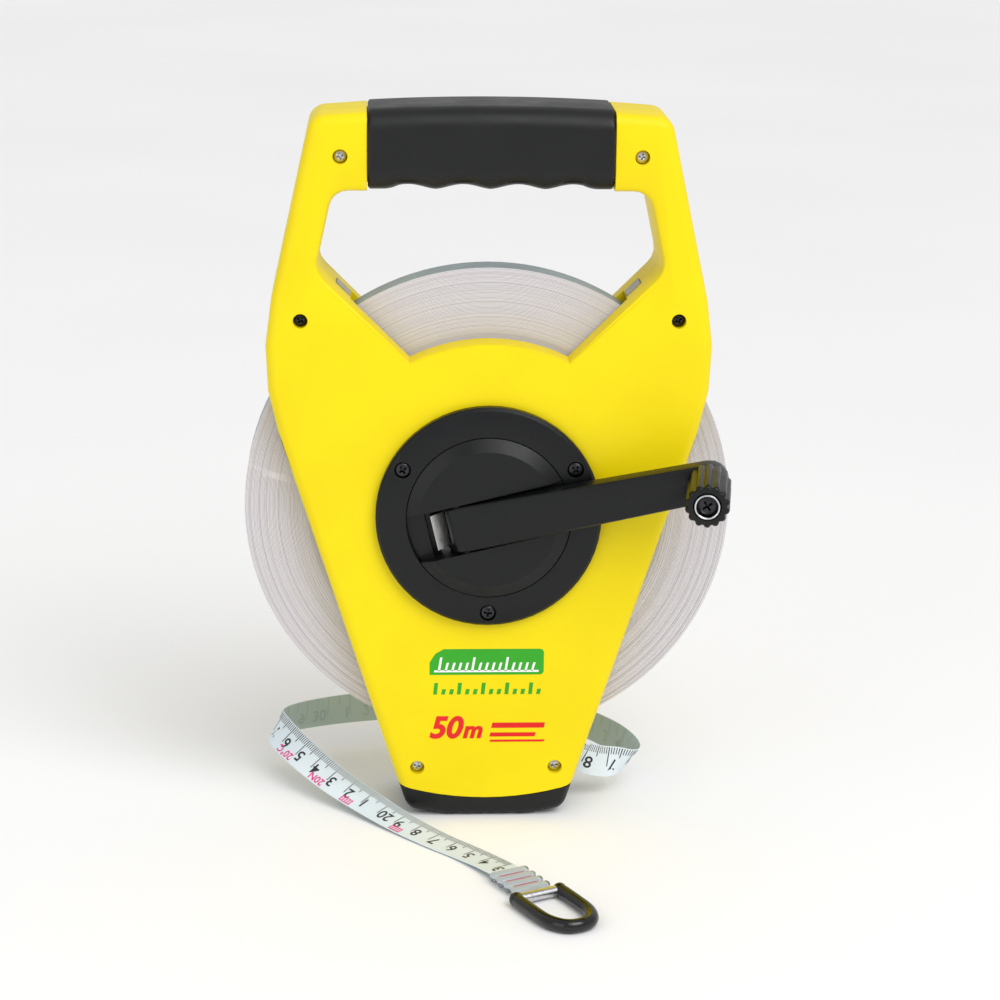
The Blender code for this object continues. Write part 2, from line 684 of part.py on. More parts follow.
def gear_cover():
    inner = ROTOR_R + 0.3 * MM
    back = HALF_T + GAP
    profile = [
        (inner, back), (COVER_R, back), (COVER_R, COVER_FACE - 1.4 * MM),
        (COVER_R - 1 * MM, COVER_FACE - 0.4 * MM), (COVER_R - 2.2 * MM, COVER_FACE), (inner, COVER_FACE),
    ]
    obj = finish("gear_cover", turned(profile, 60, closed=True), BLACK, along_y(0, 0, -1))
    for number, place in enumerate(cover_screw_places(), 1):
        hole = along_y(place.x, place.y, -1)
        cut(obj, cylinder(COVER_HEAD_R + GAP, COVER_FACE - 2 * MM, COVER_FACE + 2 * MM, 20), hole)
        cut(obj, cylinder(SCREW_SHANK_R + GAP, HALF_T, COVER_FACE, 12), hole)
        name, x, z = f"cover_screw_{number}", place.x, place.y
        screw(name, x, z, -COVER_FACE, 12 * MM, COVER_HEAD_R, SCREW_SHANK_R, DARK_STEEL)


def crank_frame():
    u = Vector((math.cos(CRANK_ANGLE), 0, math.sin(CRANK_ANGLE)))
    w = Vector((0, -1, 0))
    turn = Matrix((u, w.cross(u), w)).transposed().to_4x4()
    return Matrix.Translation((0, 0, AXIS_Z)) @ turn


def arm_frame():
    """Origin on the fold pin, local X along the arm, local Z towards the front."""
    pin = Matrix.Translation((PIN_U, CRANK_OFFSET, PIN_W))
    return crank_frame() @ pin @ Matrix.Rotation(-ARM_LIFT, 4, "Y")


def slot_cutter():
    shelf = HALF_T + GAP
    side = [
        (-ROTOR_R - 1 * MM, ROTOR_FACE + 2 * MM), (-ROTOR_R - 1 * MM, shelf),
        (-24 * MM, shelf), (-24 * MM, SLOT_FLOOR),
        (PIN_U + 5.5 * MM, SLOT_FLOOR), (PIN_U + 9 * MM, SLOT_FLOOR + 3.1 * MM),
        (ROTOR_R + 0.5 * MM, COVER_FACE - 0.2 * MM), (ROTOR_R + 0.5 * MM, ROTOR_FACE + 2 * MM),
    ]
    edges = (CRANK_OFFSET - SLOT_W / 2, CRANK_OFFSET + SLOT_W / 2)
    return loft([[(u, v, w) for u, w in side] for v in edges])


def rotor():
    back = ROTOR_BACK
    profile = [
        (0, back), (ROTOR_R, back), (ROTOR_R, FLANGE_BACK), (FLANGE_R, FLANGE_BACK),
        (FLANGE_R, HALF_T - 0.1 * MM),
        (ROTOR_R, HALF_T - 0.1 * MM), (ROTOR_R, COVER_FACE), (ROTOR_FACE_R, ROTOR_FACE), (0, ROTOR_FACE),
    ]
    obj = finish("crank_rotor", turned(profile, 60), BLACK, crank_frame())
    cut(obj, slot_cutter(), crank_frame())
    across = Matrix.Rotation(math.radians(90), 4, "X")
    pin_place = crank_frame() @ Matrix.Translation((PIN_U, CRANK_OFFSET, PIN_W)) @ across
    reach = SLOT_W / 2 + 4 * MM
    cut(obj, cylinder(PIN_R + RUN, -reach - GAP, reach + GAP, 16), pin_place)
    for number in range(3):
        angle = planet_centre(number)
        place = along_y(PLANET_R * math.cos(angle), PLANET_R * math.sin(angle), -1)
        cut(obj, cylinder(PLANET_PIN_R + RUN, 0, ROTOR_BACK + 1.3 * MM, 16), place)
    finish("fold_pin", cylinder(PIN_R, -reach, reach, 16), STEEL, pin_place)
    thick, far, near = 0.8 * MM, -21.8 * MM, PIN_U - HEEL_R - 0.4 * MM
    top_far, top_near = HALF_T + 2.9 * MM, HALF_T - 0.4 * MM   # slopes so that the folded arm clears it
    section = [
        (far, SLOT_FLOOR + GAP), (far + thick, SLOT_FLOOR + GAP), (far + thick, top_far - 1.4 * MM),
        (near, top_near - thick), (near, top_near), (far, top_far),
    ]
    edges = (CRANK_OFFSET - SPRING_W / 2, CRANK_OFFSET + SPRING_W / 2)
    leaf = loft([[(u, v, w) for u, w in section] for v in edges])
    finish("detent_spring", leaf, STEEL, crank_frame())


def arm_section(s, half, rear, front):
    """An octagonal section of the arm at distance s from the fold pin."""
    c = min(0.6 * MM, half * 0.4, (front - rear) * 0.3)
    return [
        (s, -half, rear + c), (s, -half + c, rear), (s, half - c, rear), (s, half, rear + c),
        (s, half, front - c), (s, half - c, front), (s, -half + c, front), (s, -half, front - c),
    ]


def arm_half_width(s):
    share = min(1.0, max(0.0, s / ARM_LENGTH))
    return (ARM_HEEL_W + (ARM_TIP_W - ARM_HEEL_W) * share) / 2


def crank_arm():
    sections = []
    for angle in (80, 60, 40, 20, 0):
        rise = HEEL_R * math.cos(math.radians(angle))
        sections.append((-HEEL_R * math.sin(math.radians(angle)), arm_half_width(0), -rise, rise))
    sections.append((3 * MM, arm_half_width(0), -HEEL_R, HEEL_R))
    sections.append((12 * MM, arm_half_width(12 * MM), -ARM_REAR, HEEL_R))
    sections.append((ARM_LENGTH, arm_half_width(ARM_LENGTH), -ARM_REAR, HEEL_R))
    tip = arm_half_width(ARM_LENGTH)
    for angle in (25, 45, 62, 78):
        a = math.radians(angle)
        sections.append((ARM_LENGTH + tip * math.sin(a), tip * math.cos(a), -ARM_REAR, HEEL_R))
    obj = finish("crank_arm", loft([arm_section(*row) for row in sections]), BLACK, arm_frame())
    across = Matrix.Rotation(math.radians(90), 4, "X")
    cut(obj, cylinder(PIN_R + RUN, -20 * MM, 20 * MM, 16), arm_frame() @ across)
    knob_place = arm_frame() @ Matrix.Translation((ARM_LENGTH, 0, 0))
    cut(obj, cylinder(SPINDLE_R + RUN, -10 * MM, 10 * MM, 20), knob_place)


def knob_loop(radius, height, depth):
    points = []
    count = KNOB_FLUTES * 4
    for i in range(count):
        a = 2 * math.pi * i / count
        r = radius - depth * (0.5 + 0.5 * math.cos(KNOB_FLUTES * a))
        points.append((r * math.cos(a), r * math.sin(a), height))
    return points


def knob():
    place = arm_frame() @ Matrix.Translation((ARM_LENGTH, 0, HEEL_R + 0.4 * MM))
    loops = [
        knob_loop(KNOB_R * 0.93, 0, 0.7 * MM), knob_loop(KNOB_R, 0.8 * MM, 0.9 * MM),
        knob_loop(KNOB_R, KNOB_L - 1.6 * MM, 0.9 * MM),
        knob_loop(KNOB_R * 0.94, KNOB_L - 0.4 * MM, 0.8 * MM),
        knob_loop(KNOB_R * 0.86, KNOB_L, 0.6 * MM),
    ]
    obj = finish("crank_knob", loft(loops), BLACK, place, smooth=40)
    cut(obj, cylinder(SPINDLE_R + 2 * RUN, -5 * MM, KNOB_L * 1.1, 20), place)
    cut(obj, cylinder(5.1 * MM, KNOB_L - 4 * MM, KNOB_L * 1.1, 24), place)
    ring = [
        (4.1 * MM, KNOB_L - 3.6 * MM), (4.8 * MM, KNOB_L - 3.6 * MM), (4.8 * MM, KNOB_L + 0.2 * MM),
        (4.4 * MM, KNOB_L + 0.4 * MM), (4.1 * MM, KNOB_L + 0.2 * MM),
    ]
    finish("knob_ring", turned(ring, 24, closed=True), STEEL, place)
    rear = -(HEEL_R + 0.4 * MM) - ARM_REAR
    head = KNOB_L - 2.6 * MM
    shaft = [
        (0, rear), (SPINDLE_R, rear), (SPINDLE_R, head - 0.6 * MM), (3.7 * MM, head - 0.6 * MM),
        (3.7 * MM, head + 0.8 * MM), (2.6 * MM, head + 1.5 * MM), (0, head + 1.7 * MM),
    ]
    finish("knob_spindle", turned(shaft, 20), DARK_STEEL, place)


# ---------------------------------------------------------------- free tape, guard and end ring

def smooth_route(route, spacing):
    """Points of a Catmull-Rom curve through the route, about spacing apart."""
    knots = [Vector(row) for row in route]
    knots = [2 * knots[0] - knots[1]] + knots + [2 * knots[-1] - knots[-2]]
    out = []
    for i in range(1, len(knots) - 2):
        a, b, c, d = knots[i - 1:i + 3]
        count = max(1, round((c.xyz - b.xyz).length / spacing))
        for k in range(count):
            t = k / count
            out.append(0.5 * (2 * b + (c - a) * t + (2 * a - 5 * b + 4 * c - d) * t ** 2
                              + (3 * b - a - 3 * c + d) * t ** 3))
    return out + [knots[-2]]


def free_tape():
    """A flat ribbon that leaves the roll, loops behind the frame and ends in the guard."""
    rows = smooth_route(TAPE_ROUTE, 6)
    loops = []
    for i, row in enumerate(rows):
        travel = (rows[min(i + 1, len(rows) - 1)].xyz - rows[max(i - 1, 0)].xyz).normalized()
        outer = travel.cross(Vector((0, 0, 1))).normalized()
        upright = outer.cross(travel)
        lean = math.radians(row[3])
        wide = (upright * math.cos(lean) + outer * math.sin(lean)) * TAPE_W / 2
        thick = wide.cross(travel).normalized() * TAPE_T / 2
        centre = row.xyz * MM
        loops.append([
            centre + wide + thick, centre + wide - thick, centre - wide - thick, centre - wide + thick])
    finish("free_tape", loft(loops), TAPE)


def ring_frame():
    """Origin on the pin's middle, local X along the pin, local Y forwards, local Z up."""
    across = RING_FORWARD.cross(Vector((0, 0, 1)))
    turn = Matrix((across, RING_FORWARD, Vector((0, 0, 1)))).transposed().to_4x4()
    return Matrix.Translation(RING_PIN) @ turn


def tape_guard():
    end = -1.5 * MM - GAP
    half = GUARD_T / 2
    body = block((-GUARD_W / 2, end - GUARD_L, -half), (GUARD_W / 2, end, half))
    obj = finish("tape_guard", body, CLEAR, ring_frame())
    across = Matrix.Rotation(math.radians(90), 4, "Y")
    for number in range(4):
        y = end - 3.3 * MM - number * 5.2 * MM
        place = ring_frame() @ Matrix.Translation((0, y, 0)) @ across
        join(obj, cylinder(1.9 * MM, -GUARD_W / 2 - 1.1 * MM, GUARD_W / 2 + 1.1 * MM, 12), place)


def bar_path():
    straight = [(EYE_SPREAD, 0), (EYE_SPREAD + 0.2 * MM, 4 * MM), (EYE_SPREAD + 0.2 * MM, 11 * MM),
                (EYE_SPREAD + 0.1 * MM, 17 * MM)]
    turn = []
    for angle in (18, 36, 54, 72, 90):
        a = math.radians(angle)
        side = (EYE_SPREAD + 0.1 * MM) * math.cos(a) ** 0.8
        turn.append((side, 17 * MM + (RING_LENGTH - 17 * MM) * math.sin(a)))
    right = straight + turn
    right[-1] = (0, RING_LENGTH)
    left = [(-x, y) for x, y in reversed(right[:-1])]
    return [Vector((x, y, 0)) for x, y in right + left]


def end_ring():
    path = bar_path()
    loops = []
    for i, point in enumerate(path):
        travel = (path[min(i + 1, len(path) - 1)] - path[max(i - 1, 0)]).normalized()
        outer = travel.cross(Vector((0, 0, 1)))
        angles = [2 * math.pi * k / 10 for k in range(10)]
        rays = [outer * math.cos(a) + Vector((0, 0, 1)) * math.sin(a) for a in angles]
        loops.append([point + ray * RING_BAR_R for ray in rays])
    obj = finish("end_ring", loft(loops), BLACK, ring_frame(), smooth=50)
    across = Matrix.Rotation(math.radians(90), 4, "Y")
    eye = 2.7 * MM
    thick = 1.9 * MM
    profile = [
        (0, -thick), (eye * 0.75, -thick), (eye, -thick * 0.6),
        (eye, thick * 0.6), (eye * 0.75, thick), (0, thick),
    ]
    for side in (-1, 1):
        place = ring_frame() @ Matrix.Translation((side * EYE_SPREAD, 0, 0)) @ across
        join(obj, turned(profile, 14), place)
    cut(obj, cylinder(1.5 * MM + RUN, -20 * MM, 20 * MM, 16), ring_frame() @ across)
    pin = cylinder(1.5 * MM, -EYE_SPREAD - 2.9 * MM, EYE_SPREAD + 2.9 * MM, 16)
    finish("ring_pin", pin, STEEL, ring_frame() @ across)


frame_parts()
grip_sleeve()
foot()
guide_pads()
ring_gear()
sun_gear()
planets()
drum()
axle()
gear_cover()
rotor()
crank_arm()
knob()
free_tape()
tape_guard()
end_ring()
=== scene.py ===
import json
import math
import random

import bmesh
import bpy
from mathutils import Matrix, Vector


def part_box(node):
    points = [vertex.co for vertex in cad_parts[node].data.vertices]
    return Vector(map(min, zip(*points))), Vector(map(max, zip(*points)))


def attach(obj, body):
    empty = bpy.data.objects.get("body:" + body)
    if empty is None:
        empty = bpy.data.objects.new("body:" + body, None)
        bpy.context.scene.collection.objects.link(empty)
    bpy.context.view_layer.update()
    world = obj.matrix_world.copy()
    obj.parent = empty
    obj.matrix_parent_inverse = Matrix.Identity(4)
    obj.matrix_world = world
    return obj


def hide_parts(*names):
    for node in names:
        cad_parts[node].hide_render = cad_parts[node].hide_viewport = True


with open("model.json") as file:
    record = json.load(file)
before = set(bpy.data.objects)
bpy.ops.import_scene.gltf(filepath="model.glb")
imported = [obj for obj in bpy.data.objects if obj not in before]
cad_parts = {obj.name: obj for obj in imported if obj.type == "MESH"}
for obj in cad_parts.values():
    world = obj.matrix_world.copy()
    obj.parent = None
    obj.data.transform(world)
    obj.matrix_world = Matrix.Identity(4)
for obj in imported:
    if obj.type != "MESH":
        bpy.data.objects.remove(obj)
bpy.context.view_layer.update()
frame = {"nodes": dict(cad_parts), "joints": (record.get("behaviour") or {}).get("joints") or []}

MM = 0.001
NODES = frame["nodes"]
JOINTS = {joint["name"]: joint for joint in frame["joints"]}
AXIS = Vector(JOINTS["drum_spin"]["pos_m"])        # drum axis, on the mid-plane
FRONT_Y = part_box("front_shell")[0].y                # front face of the case
random.seed(7)

for leftover in ("Cube", "Light", "Camera"):
    if leftover in bpy.data.objects and leftover not in NODES:
        bpy.data.objects.remove(bpy.data.objects[leftover])


# ---------------------------------------------------------------- camera and light

def add_camera():
    right = Vector((0.998921, -0.045280, 0.010252))
    up = Vector((0.002346, 0.269775, 0.962912))
    turn = Matrix((right, up, right.cross(up))).transposed().to_4x4()
    data = bpy.data.cameras.new("camera")
    data.lens, data.sensor_width, data.clip_end = 100.55, 36, 20
    camera = bpy.data.objects.new("camera", data)
    camera.matrix_world = Matrix.Translation((-0.0453, -1.050, 0.4191)) @ turn
    bpy.context.scene.collection.objects.link(camera)
    bpy.context.scene.camera = camera


def area_light(name, place, target, size, power, colour=(1, 1, 1)):
    data = bpy.data.lights.new(name, "AREA")
    data.shape, data.size, data.size_y, data.energy, data.color = "RECTANGLE", size[0], size[1], power, colour
    light = bpy.data.objects.new(name, data)
    aim = (Vector(target) - Vector(place)).to_track_quat("-Z", "Y").to_matrix().to_4x4()
    light.matrix_world = Matrix.Translation(place) @ aim
    bpy.context.scene.collection.objects.link(light)


def studio():
    world = bpy.data.worlds.new("studio")
    world.use_nodes = True
    world.node_tree.nodes["Background"].inputs[0].default_value = (1, 1, 1, 1)
    world.node_tree.nodes["Background"].inputs[1].default_value = 0.66
    bpy.context.scene.world = world
    bpy.context.scene.view_settings.view_transform = "Standard"
    middle = (0, 0, 0.13)
    area_light("key", (0.55, -0.75, 0.95), middle, (0.6, 0.6), 3.2)
    area_light("fill", (-0.95, -1.0, 0.55), middle, (0.9, 0.9), 2.2)
    data = bpy.data.lights.new("soft_sun", "SUN")
    data.energy, data.angle = 1.1, math.radians(50)
    sun = bpy.data.objects.new("soft_sun", data)
    sun.matrix_world = (-Vector((0.45, -0.75, 1.0))).to_track_quat("-Z", "Y").to_matrix().to_4x4()
    bpy.context.scene.collection.objects.link(sun)
    bm = bmesh.new()
    bmesh.ops.create_grid(bm, x_segments=1, y_segments=1, size=9)
    floor = as_object("floor", bm, PAPER)


# ---------------------------------------------------------------- materials

def new_material(name, colour, roughness, metallic=0.0, **sockets):
    mat = bpy.data.materials.new(name)
    mat.use_nodes = True
    shader = mat.node_tree.nodes["Principled BSDF"]
    shader.inputs["Base Color"].default_value = (*colour, 1)
    shader.inputs["Roughness"].default_value = roughness
    shader.inputs["Metallic"].default_value = metallic
    for socket, value in sockets.items():
        shader.inputs[socket.replace("_", " ")].default_value = value
    return mat


def node(mat, kind, **inputs):
    made = mat.node_tree.nodes.new(kind)
    for socket, value in inputs.items():
        made.inputs[socket].default_value = value
    return made


def join_up(mat, start, end):
    mat.node_tree.links.new(start, end)


def noise(mat, size, detail=3, stretch=None):
    """Noise whose features are about size metres across, in the object's own space."""
    place = node(mat, "ShaderNodeTexCoord").outputs["Object"]
    if stretch:
        scaled = node(mat, "ShaderNodeMapping")
        scaled.inputs["Scale"].default_value = stretch
        join_up(mat, place, scaled.inputs["Vector"])
        place = scaled.outputs["Vector"]
    made = node(mat, "ShaderNodeTexNoise", Scale=1 / size, Detail=detail)
    join_up(mat, place, made.inputs["Vector"])
    return made.outputs["Fac"]


def vary_colour(mat, source, dark, light, low=0.35, high=0.65):
    ramp = mat.node_tree.nodes.new("ShaderNodeValToRGB")
    ramp.color_ramp.elements[0].position, ramp.color_ramp.elements[1].position = low, high
    ramp.color_ramp.elements[0].color, ramp.color_ramp.elements[1].color = (*dark, 1), (*light, 1)
    join_up(mat, source, ramp.inputs["Fac"])
    join_up(mat, ramp.outputs["Color"], mat.node_tree.nodes["Principled BSDF"].inputs["Base Color"])


def vary_roughness(mat, source, low, high):
    spread = mat.node_tree.nodes.new("ShaderNodeMapRange")
    spread.inputs["From Min"].default_value, spread.inputs["From Max"].default_value = 0.3, 0.7
    spread.inputs["To Min"].default_value, spread.inputs["To Max"].default_value = low, high
    join_up(mat, source, spread.inputs["Value"])
    join_up(mat, spread.outputs["Result"], mat.node_tree.nodes["Principled BSDF"].inputs["Roughness"])


def relief(mat, source, height, edge=0.0):
    """Bump of the given height in metres, over edges softened by the given radius."""
    bump = node(mat, "ShaderNodeBump", Strength=1.0, Distance=height)
    join_up(mat, source, bump.inputs["Height"])
    if edge:
        bevel = node(mat, "ShaderNodeBevel", Radius=edge)
        bevel.samples = 4
        join_up(mat, bevel.outputs["Normal"], bump.inputs["Normal"])
    join_up(mat, bump.outputs["Normal"], mat.node_tree.nodes["Principled BSDF"].inputs["Normal"])


def moulded(name, colour, shade, roughness, grain, height, edge, **sockets):
    """Moulded plastic or rubber: fine spark-eroded grain, slow drift in colour and sheen."""
    mat = new_material(name, colour, roughness, **sockets)
    vary_colour(mat, noise(mat, 0.03, 4), shade, colour)
    vary_roughness(mat, noise(mat, 0.012, 5), roughness * 0.85, min(1, roughness * 1.15))
    relief(mat, noise(mat, grain, 2), height, edge)
    return mat


def brushed(name, colour, roughness, stretch, edge):
    mat = new_material(name, colour, roughness, metallic=1.0)
    lines = noise(mat, 0.004, 4, stretch)
    vary_colour(mat, lines, tuple(c * 0.8 for c in colour), colour)
    vary_roughness(mat, lines, roughness * 0.8, roughness * 1.3)
    relief(mat, lines, 0.00001, edge)
    return mat


def roll_material():
    """Edges of the wound turns: rings of slightly different tone about the drum's axis."""
    mat = new_material("tape_edges", (0.62, 0.57, 0.6), 0.55)
    place = node(mat, "ShaderNodeTexCoord").outputs["Object"]
    off = node(mat, "ShaderNodeVectorMath")
    off.operation = "SUBTRACT"
    off.inputs[1].default_value = AXIS
    join_up(mat, place, off.inputs[0])
    flat = node(mat, "ShaderNodeVectorMath")
    flat.operation = "MULTIPLY"
    flat.inputs[1].default_value = (1, 0, 1)
    join_up(mat, off.outputs["Vector"], flat.inputs[0])
    radius = node(mat, "ShaderNodeVectorMath")
    radius.operation = "LENGTH"
    join_up(mat, flat.outputs["Vector"], radius.inputs[0])
    rings = node(mat, "ShaderNodeTexNoise", Scale=1500.0, Detail=2.0)
    rings.noise_dimensions = "1D"
    join_up(mat, radius.outputs["Value"], rings.inputs["W"])
    vary_colour(mat, rings.outputs["Fac"], (0.55, 0.515, 0.54), (0.70, 0.665, 0.69), 0.30, 0.55)
    relief(mat, noise(mat, 0.0015, 2), 0.00001)
    return mat


PAPER = new_material("paper", (0.93, 0.93, 0.93), 0.9)
vary_colour(PAPER, noise(PAPER, 0.4, 2), (0.92, 0.92, 0.92), (0.94, 0.94, 0.94))
YELLOW = moulded("yellow_abs", (0.88, 0.70, 0.0), (0.85, 0.665, 0.0), 0.45, 0.00045, 0.00003, 0.0004,
                 Specular_IOR_Level=0.25)
BLACK = moulded("black_abs", (0.004, 0.0045, 0.0055), (0.0025, 0.003, 0.0035), 0.33, 0.0005, 0.00004, 0.0004,
                Specular_IOR_Level=0.3)
GLOSS_BLACK = moulded("gloss_black", (0.004, 0.004, 0.005), (0.003, 0.003, 0.004), 0.12, 0.004, 0.00001, 0.0003)
RUBBER = moulded("black_rubber", (0.005, 0.0055, 0.0065), (0.003, 0.0035, 0.004), 0.42, 0.0004, 0.00005, 0.0004,
                 Specular_IOR_Level=0.35)
STEEL = brushed("plated_steel", (0.72, 0.72, 0.74), 0.2, (1, 6, 1), 0.0002)
DARK_STEEL = brushed("blackened_steel", (0.05, 0.05, 0.055), 0.3, (1, 6, 1), 0.0002)
LEAF_STEEL = brushed("leaf_steel", (0.75, 0.74, 0.72), 0.32, (8, 1, 1), 0.0002)
NYLON = moulded("gear_nylon", (0.80, 0.77, 0.68), (0.74, 0.71, 0.61), 0.45, 0.0008, 0.00002, 0.0003)
FELT = moulded("felt", (0.40, 0.39, 0.36), (0.27, 0.26, 0.24), 0.95, 0.0006, 0.0002, 0.0003, Sheen_Weight=0.4)
TAPE_FACE = moulded("tape_face", (0.74, 0.82, 0.87), (0.69, 0.78, 0.84), 0.35, 0.0007, 0.00002, 0.0)
TAPE_BACK = moulded("tape_back", (0.50, 0.61, 0.62), (0.45, 0.56, 0.57), 0.4, 0.0007, 0.00002, 0.0)
ROLL_EDGE = roll_material()
# Inner and outer faces of the wound turns: the tape's teal back colour darkened, painted shade of the roll inside the
# case.
ROLL_RIM_PAINTED_SHADE = moulded("roll_rim_painted_shade", (0.30, 0.38, 0.40), (0.24, 0.31, 0.33), 0.4, 0.0007, 0.00002, 0.0)
INK_BLACK = moulded("ink_black", (0.02, 0.02, 0.025), (0.012, 0.012, 0.015), 0.45, 0.0005, 0.000005, 0.0)
INK_PINK = moulded("ink_pink", (0.80, 0.02, 0.26), (0.72, 0.015, 0.22), 0.45, 0.0005, 0.000005, 0.0)
INK_GHOST = moulded("ink_ghost", (0.40, 0.50, 0.51), (0.37, 0.46, 0.47), 0.45, 0.0005, 0.000005, 0.0)
INK_GREEN = moulded("ink_green", (0.02, 0.38, 0.004), (0.018, 0.34, 0.003), 0.35, 0.0006, 0.000005, 0.0)
INK_RED = moulded("ink_red", (0.80, 0.004, 0.002), (0.72, 0.004, 0.002), 0.35, 0.0006, 0.000005, 0.0)
INK_WHITE = moulded("ink_white", (0.92, 0.92, 0.9), (0.87, 0.87, 0.85), 0.35, 0.0006, 0.000005, 0.0)
CLEAR = moulded("clear_guard", (0.93, 0.95, 0.97), (0.88, 0.91, 0.94), 0.05, 0.002, 0.00004, 0.0003,
                Transmission_Weight=0.9, IOR=1.46)


# ---------------------------------------------------------------- mesh tools

def as_object(name, bm, *materials, matrix=None, smooth=None):
    bmesh.ops.recalc_face_normals(bm, faces=bm.faces)
    mesh = bpy.data.meshes.new(name)
    bm.to_mesh(mesh)
    bm.free()
    if matrix is not None:
        mesh.transform(matrix)
    if smooth is not None:
        mesh.shade_smooth()
        mesh.set_sharp_from_angle(angle=math.radians(smooth))
    for mat in materials:
        mesh.materials.append(mat)
    obj = bpy.data.objects.new(name, mesh)
    bpy.context.scene.collection.objects.link(obj)
    return obj


def piece(obj, body, slot, *stands_for):
    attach(obj, body)
    if stands_for:
        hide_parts(*stands_for)
    return obj


def loft(loops, closed=False):
    """A skin through loops of equal length, capped at both ends unless it closes on itself."""
    bm = bmesh.new()
    rows = [[bm.verts.new(p) for p in loop] for loop in loops]
    pairs = list(zip(rows, rows[1:])) + ([(rows[-1], rows[0])] if closed else [])
    for a, b in pairs:
        for i in range(len(a)):
            j = (i + 1) % len(a)
            bm.faces.new((a[i], a[j], b[j], b[i]))
    if not closed:
        bm.faces.new(rows[0])
        bm.faces.new(rows[-1])
    return bm


def turned(profile, segments, closed=False, flutes=0, depth=None):
    """(radius, height) points turned about local Z, with optional flutes of depth(row) metres."""
    loops = []
    for row, (radius, height) in enumerate(profile):
        loop = []
        for i in range(segments):
            a = 2 * math.pi * i / segments
            r = max(radius, 1e-6)
            if flutes:
                r -= depth[row] * (0.5 + 0.5 * math.cos(flutes * a)) ** 1.6
            loop.append((r * math.cos(a), r * math.sin(a), height))
        loops.append(loop)
    return loft(loops, closed)


def rounded_section(half_w, half_h, radius, per_corner=5):
    """Points of a rectangle with rounded corners, in the plane of two axes."""
    points = []
    for cx, cy, start in ((1, 1, 0), (-1, 1, 90), (-1, -1, 180), (1, -1, 270)):
        for k in range(per_corner):
            a = math.radians(start + 90 * k / (per_corner - 1))
            points.append((cx * (half_w - radius) + radius * math.cos(a),
                           cy * (half_h - radius) + radius * math.sin(a)))
    return points


def frame_of(x_axis, y_axis, origin):
    turn = Matrix((x_axis, y_axis, x_axis.cross(y_axis))).transposed().to_4x4()
    return Matrix.Translation(origin) @ turn


def boolean(obj, cutter_bm, matrix):
    cutter = as_object("cutter", cutter_bm, matrix=matrix)
    mod = obj.modifiers.new("cut", "BOOLEAN")
    mod.operation, mod.solver, mod.object = "DIFFERENCE", "EXACT", cutter
    graph = bpy.context.evaluated_depsgraph_get()
    graph.update()
    mesh = bpy.data.meshes.new_from_object(obj.evaluated_get(graph))
    obj.modifiers.clear()
    obj.data = mesh
    bpy.data.objects.remove(cutter)


def dress(name, mat, angle=32, bevel=0.0):
    """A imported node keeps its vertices; welding and splitting happen in modifiers, for smooth shading."""
    obj = NODES[name]
    mesh = obj.data
    if "custom_normal" in mesh.attributes:
        mesh.attributes.remove(mesh.attributes["custom_normal"])
    mesh.materials.clear()
    mesh.materials.append(mat)
    mesh.shade_smooth()
    weld = obj.modifiers.new("weld", "WELD")
    weld.merge_threshold = 0.00001
    if bevel:
        merge = obj.modifiers.new("flat_faces", "DECIMATE")
        merge.decimate_type, merge.angle_limit = "DISSOLVE", math.radians(0.6)
        edge = obj.modifiers.new("edge", "BEVEL")
        edge.width, edge.segments, edge.limit_method = bevel, 3, "ANGLE"
        edge.angle_limit, edge.use_clamp_overlap = math.radians(38), True
    split = obj.modifiers.new("split", "EDGE_SPLIT")
    split.split_angle = math.radians(angle)


# ---------------------------------------------------------------- free tape

TAPE_W, TAPE_T = 13 * MM, 0.45 * MM
GUARD_END = 25.76 * MM       # the tape enters the guard this far behind the ring's pin
TAPE_ROUTE = (   # mm: x, y, z of the tape's middle, and its lean in degrees
    (4.5, 0.0, 29.3, 90), (16, 0.0, 28.4, 90), (25, 0.0, 27.4, 88), (30, 0.0, 26.3, 76),
    (35, -0.3, 22.9, 42), (39, -0.5, 18.4, 6), (45, 0.2, 16.0, -3), (52, 1.8, 14.8, 5),
    (59, 7.0, 13.4, 36), (59.5, 18, 13.6, 30),
    (53, 34, 14.6, 8), (38, 51, 15.6, 0), (16, 62.5, 16.6, 0), (-10, 65.5, 17.6, 0),
    (-36, 61, 18.4, 0), (-58, 53, 19.2, -4), (-75, 43.5, 19.8, -10), (-83.2, 35.5, 20, -22),
    (-82.6, 27, 19.5, -40), (-73.5, 13.2, 15.0, -53), (-60.5, -1.3, 9.2, -62),
    (-49, -12.8, 5.4, -70), (-34.1, -29.9, 2.3, -80), (-20.5, -45.5, 1.1, -86),
    (-9.5, -57.5, 0.9, -88), (-1.2, -69.0, 1.6, -90), (4.6, -79.2, 2.6, -90))


def smooth_route(route, spacing):
    knots = [Vector(row) for row in route]
    knots = [2 * knots[0] - knots[1]] + knots + [2 * knots[-1] - knots[-2]]
    out = []
    for i in range(1, len(knots) - 2):
        a, b, c, d = knots[i - 1:i + 3]
        count = max(1, round((c.xyz - b.xyz).length / spacing))
        for k in range(count):
            t = k / count
            out.append(0.5 * (2 * b + (c - a) * t + (2 * a - 5 * b + 4 * c - d) * t ** 2
                              + (3 * b - a - 3 * c + d) * t ** 3))
    return out + [knots[-2]]


